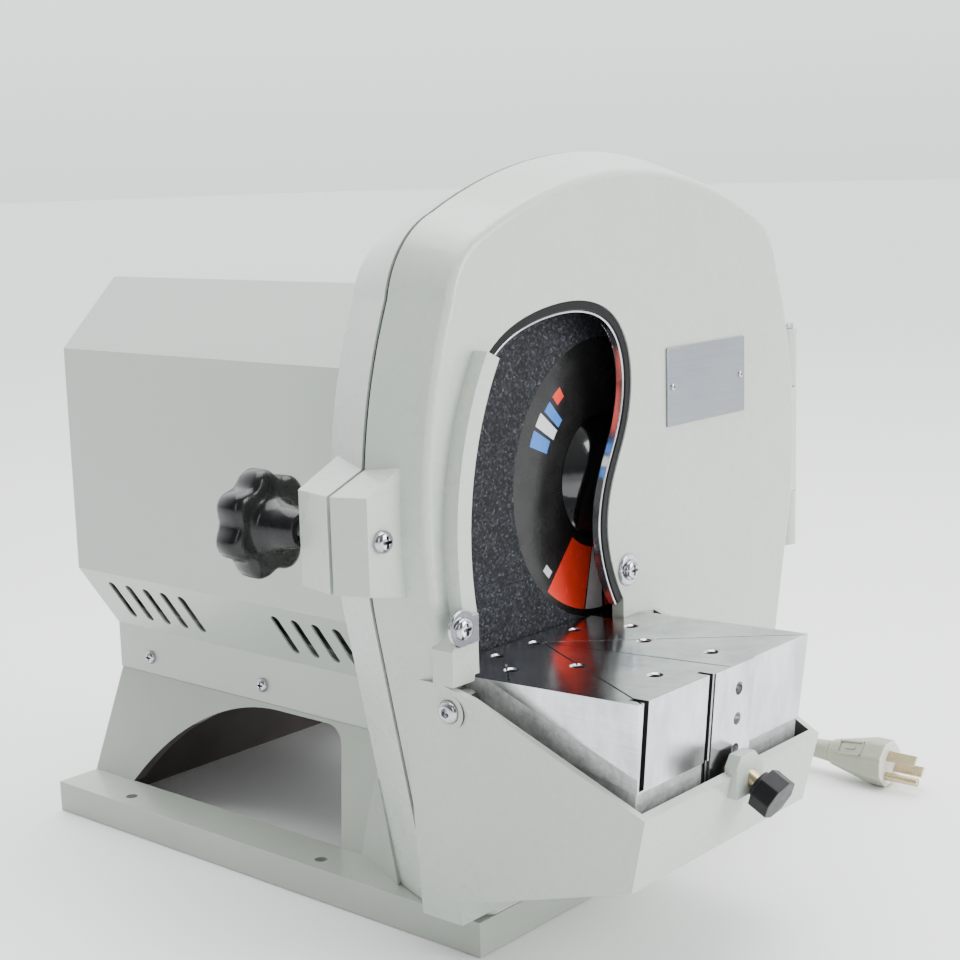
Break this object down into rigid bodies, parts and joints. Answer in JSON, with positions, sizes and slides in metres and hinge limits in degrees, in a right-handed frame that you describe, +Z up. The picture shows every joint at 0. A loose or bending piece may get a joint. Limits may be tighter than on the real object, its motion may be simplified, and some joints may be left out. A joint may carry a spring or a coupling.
{
  "type": "wet disc trimmer",
  "caption": "Bench machine with a motor-driven abrasive disc behind the window of a hinged cover, a small tilting work table and drip tray, on an arched cast stand.",
  "frame": {"origin": "centre of the four bench-bolt holes, on the underside of the base", "axes": "+Z up, +Y to the motor end, +X to the operator's right (hinge side)"},
  "size_m": [0.4138, 0.443, 0.366],
  "materials": {
    "cast_paint": "gloss",
    "sheet_paint": "gloss",
    "base_paint": "satin",
    "seal_rubber": "matte",
    "black_trim": "gloss",
    "bright_trim": "polished",
    "machined_alloy": "machined",
    "fastener": "polished",
    "knob_plastic": "matte",
    "motor_iron": "matte",
    "motor_alloy": "cast",
    "lamination": "satin",
    "shaft_steel": "ground",
    "fan_plastic": "matte",
    "abrasive": "matte",
    "label_print": "gloss",
    "plate": "satin",
    "brass_fitting": "satin",
    "capacitor_can": "matte",
    "cord_vinyl": "matte",
    "plug_vinyl": "matte",
    "drain_plastic": "matte"
  },
  "bodies": {
    "stand": {"base_stand": "base_paint", "wheel_housing": "cast_paint", "housing_seal": "seal_rubber", "housing_bolts": "fastener", "hinge_pin": "fastener", "motor_cover": "sheet_paint", "cover_screws": "fastener", "motor_frame": "motor_alloy", "stator_core": "lamination", "front_end_bell": "motor_alloy", "rear_end_bell": "motor_alloy", "front_bearing": "shaft_steel", "rear_bearing": "shaft_steel", "shaft_seal": "seal_rubber", "motor_bolts": "fastener", "run_capacitor": "capacitor_can", "capacitor_strap": "fastener", "switch_frame": "knob_plastic", "water_valve": "brass_fitting", "hose_barb": "brass_fitting", "spray_pipe": "fastener", "drain_spout": "drain_plastic", "cable_gland": "knob_plastic", "cord_lead": "cord_vinyl", "cord_coil": "cord_vinyl", "plug_body": "plug_vinyl", "plug_sleeve": "plug_vinyl", "plug_blades": "brass_fitting", "plug_ground_pin": "brass_fitting"},
    "spindle": {"motor_shaft": "shaft_steel", "rotor_core": "lamination", "cooling_fan": "fan_plastic", "drive_flange": "shaft_steel", "backing_disc": "machined_alloy", "abrasive_ring": "abrasive", "disc_label": "label_print", "hub_dome": "black_trim"},
    "door": {"front_cover": "cast_paint", "window_trim": "black_trim", "trim_bead": "bright_trim", "drip_tray": "cast_paint", "pivot_screw": "fastener", "pivot_pin": "fastener", "left_clip": "fastener", "right_clip": "fastener", "clip_screws": "fastener", "boss_screw": "fastener", "badge_plate": "plate", "badge_rivets": "fastener"},
    "table": {"work_table": "machined_alloy"},
    "table_lock": {"table_lock_knob": "knob_plastic", "table_lock_stud": "fastener"},
    "clamp": {"clamp_knob": "knob_plastic", "clamp_stud": "fastener"},
    "valve": {"valve_lever": "brass_fitting"},
    "rocker": {"switch_rocker": "knob_plastic"}
  },
  "joints": [
    {"name": "disc_spin", "type": "hinge", "parent": "stand", "child": "spindle", "pos_m": [0, -0.1, 0.205], "axis": [0, 1, 0], "continuous": true},
    {"name": "cover_hinge", "type": "hinge", "parent": "stand", "child": "door", "pos_m": [0.172, -0.171, 0.2], "axis": [0, 0, 1], "range_deg": [0, 70]},
    {"name": "table_tilt", "type": "hinge", "parent": "door", "child": "table", "pos_m": [-0.065, -0.193, 0.124], "axis": [1, 0, 0], "range_deg": [0, 10]},
    {"name": "table_lock_turn", "type": "hinge", "parent": "door", "child": "table_lock", "pos_m": [-0.057, -0.2925, 0.0885], "axis": [0, 0.8829, 0.4695], "range_deg": [0, 180]},
    {"name": "clamp_turn", "type": "hinge", "parent": "stand", "child": "clamp", "pos_m": [-0.17, -0.14, 0.203], "axis": [0, 1, 0], "range_deg": [0, 360]},
    {"name": "valve_turn", "type": "hinge", "parent": "stand", "child": "valve", "pos_m": [0.118, -0.117, 0.3], "axis": [0, 0, -1], "range_deg": [0, 90]},
    {"name": "switch_rock", "type": "hinge", "parent": "stand", "child": "rocker", "pos_m": [0.101, -0.05, 0.16], "axis": [0, -1, 0], "range_deg": [0, 12]}
  ]
}
